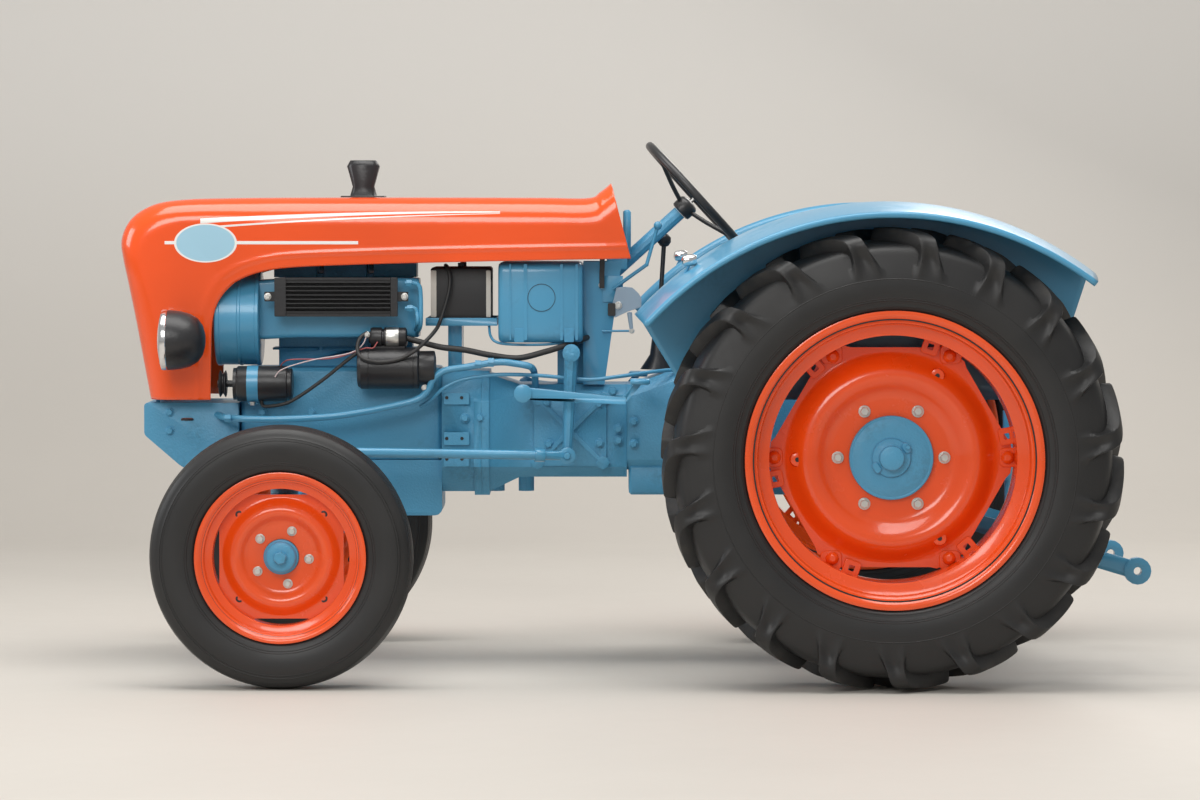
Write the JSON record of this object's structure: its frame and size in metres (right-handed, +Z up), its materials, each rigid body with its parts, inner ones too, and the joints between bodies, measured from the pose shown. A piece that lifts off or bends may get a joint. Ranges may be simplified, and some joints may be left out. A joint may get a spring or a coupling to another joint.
{
  "type": "vintage tractor",
  "caption": "Vintage two-wheel-drive tractor with a one-piece tilting bonnet over an open air-cooled engine, steered front axle, ribbed drive tyres, fenders and rear three-point linkage.",
  "frame": {"origin": "on the ground at the middle of the tractor's length and width", "axes": "+X towards the nose, +Y to the driver's left, +Z up"},
  "size_m": [2.7491, 1.544, 1.4161],
  "materials": {
    "orange_paint": "glossy tractor orange, lightly worn",
    "blue_paint": "satin light blue, worn on castings",
    "black_paint": "satin black",
    "tyre": "matt black rubber",
    "bright_steel": "bare machined steel",
    "black_plastic": "matt black"
  },
  "bodies": {
    "chassis": {"battery": "black_plastic", "battery_tray": "blue_paint", "brake_pedal": "blue_paint", "clutch_housing": "blue_paint", "clutch_pedal": "blue_paint", "cooling_shroud": "blue_paint", "cylinder_bank": "blue_paint", "dynamo": "bright_steel", "engine_block": "blue_paint", "exhaust_manifold": "black_paint", "fender_left": "blue_paint", "fender_right": "blue_paint", "front_axle": "blue_paint", "front_support": "blue_paint", "fuel_tank": "blue_paint", "gear_lever": "black_paint", "gearbox": "blue_paint", "headlamp_left": "black_paint", "headlamp_right": "black_paint", "oil_cooler": "black_paint", "oil_sump": "blue_paint", "rear_axle_left": "blue_paint", "rear_axle_right": "blue_paint", "rear_transmission": "blue_paint", "scuttle": "blue_paint", "seat": "blue_paint", "seat_spring": "black_paint", "starter_motor": "black_paint", "steering_box": "blue_paint", "throttle_lever": "blue_paint"},
    "bonnet": {"bonnet": "orange_paint", "grille": "black_paint", "exhaust_outlet": "black_paint"},
    "steering_wheel": {"steering_wheel": "black_plastic"},
    "pitman_arm": {"pitman_arm": "blue_paint"},
    "drag_link": {"drag_link": "blue_paint"},
    "tie_rod": {"tie_rod": "blue_paint"},
    "lift_arms": {"lift_arms": "blue_paint"},
    "rear_wheel_left": {"rear_tyre_left": "tyre", "rear_wheel_left": "orange_paint", "rear_hub_left": "blue_paint"},
    "front_wheel_left": {"front_tyre_left": "tyre", "front_wheel_left": "orange_paint", "front_hub_left": "blue_paint"},
    "knuckle_left": {"knuckle_left": "blue_paint"},
    "lift_rod_left": {"lift_rod_left": "blue_paint"},
    "lower_link_left": {"lower_link_left": "blue_paint"},
    "rear_wheel_right": {"rear_tyre_right": "tyre", "rear_wheel_right": "orange_paint", "rear_hub_right": "blue_paint"},
    "front_wheel_right": {"front_tyre_right": "tyre", "front_wheel_right": "orange_paint", "front_hub_right": "blue_paint"},
    "knuckle_right": {"knuckle_right": "blue_paint"},
    "lift_rod_right": {"lift_rod_right": "blue_paint"},
    "lower_link_right": {"lower_link_right": "blue_paint"}
  },
  "joints": [
    {"name": "steer_left", "type": "hinge", "parent": "chassis", "child": "knuckle_left", "pos_m": [0.905, 0.505, 0.34], "axis": [0, 0, 1], "range_deg": [-30, 30]},
    {"name": "steer_right", "type": "hinge", "parent": "chassis", "child": "knuckle_right", "pos_m": [0.905, -0.505, 0.34], "axis": [0, 0, 1], "range_deg": [-30, 30]},
    {"name": "steering_wheel_turn", "type": "hinge", "parent": "chassis", "child": "steering_wheel", "pos_m": [-0.1303, 0, 1.2249], "axis": [-0.7389, 0, 0.6738], "range_deg": [-330, 330]},
    {"name": "pitman_swing", "type": "hinge", "parent": "chassis", "child": "pitman_arm", "pos_m": [0.1616, 0.212, 0.8508], "axis": [0, 1, 0], "range_deg": [-14.5, 14.5]},
    {"name": "drag_link_pivot", "type": "hinge", "parent": "pitman_arm", "child": "drag_link", "pos_m": [0.1722, 0.24, 0.5787], "axis": [0, 1, 0], "range_deg": [-14.5, 14.5]},
    {"name": "tie_rod_pivot", "type": "hinge", "parent": "knuckle_left", "child": "tie_rod", "pos_m": [0.775, 0.469, 0.38], "axis": [0, 0, 1], "range_deg": [-30, 30]},
    {"name": "front_wheel_left_spin", "type": "hinge", "parent": "knuckle_left", "child": "front_wheel_left", "pos_m": [0.905, 0.62, 0.34], "axis": [0, 1, 0], "continuous": true},
    {"name": "rear_wheel_left_spin", "type": "hinge", "parent": "chassis", "child": "rear_wheel_left", "pos_m": [-0.665, 0.63, 0.594], "axis": [0, 1, 0], "continuous": true},
    {"name": "front_wheel_right_spin", "type": "hinge", "parent": "knuckle_right", "child": "front_wheel_right", "pos_m": [0.905, -0.62, 0.34], "axis": [0, 1, 0], "continuous": true},
    {"name": "rear_wheel_right_spin", "type": "hinge", "parent": "chassis", "child": "rear_wheel_right", "pos_m": [-0.665, -0.63, 0.594], "axis": [0, 1, 0], "continuous": true},
    {"name": "bonnet_hinge", "type": "hinge", "parent": "chassis", "child": "bonnet", "pos_m": [1.279, 0, 0.742], "axis": [0, 1, 0], "range_deg": [0, 65]},
    {"name": "hitch_lift", "type": "hinge", "parent": "chassis", "child": "lift_arms", "pos_m": [-0.8, 0, 0.868], "axis": [0, 1, 0], "range_deg": [-8, 48]},
    {"name": "lift_rod_left_pivot", "type": "hinge", "parent": "lift_arms", "child": "lift_rod_left", "pos_m": [-1.049, 0.27, 0.7933], "axis": [0, 1, 0], "range_deg": [-48, 8]},
    {"name": "lower_link_left_pivot", "type": "hinge", "parent": "chassis", "child": "lower_link_left", "pos_m": [-0.8, 0.3, 0.438], "axis": [0, 1, 0], "range_deg": [-8, 48]},
    {"name": "lift_rod_right_pivot", "type": "hinge", "parent": "lift_arms", "child": "lift_rod_right", "pos_m": [-1.049, -0.27, 0.7933], "axis": [0, 1, 0], "range_deg": [-48, 8]},
    {"name": "lower_link_right_pivot", "type": "hinge", "parent": "chassis", "child": "lower_link_right", "pos_m": [-0.8, -0.3, 0.438], "axis": [0, 1, 0], "range_deg": [-8, 48]}
  ],
  "couplings": [
    {"joint": "steer_right", "follows": "steer_left", "ratio": 1},
    {"joint": "steering_wheel_turn", "follows": "steer_left", "ratio": 11},
    {"joint": "pitman_swing", "follows": "steer_left", "ratio": -0.48},
    {"joint": "drag_link_pivot", "follows": "steer_left", "ratio": 0.48},
    {"joint": "tie_rod_pivot", "follows": "steer_left", "ratio": -1},
    {"joint": "lift_rod_left_pivot", "follows": "hitch_lift", "ratio": -1},
    {"joint": "lower_link_left_pivot", "follows": "hitch_lift", "ratio": 1},
    {"joint": "lift_rod_right_pivot", "follows": "hitch_lift", "ratio": -1},
    {"joint": "lower_link_right_pivot", "follows": "hitch_lift", "ratio": 1}
  ]
}
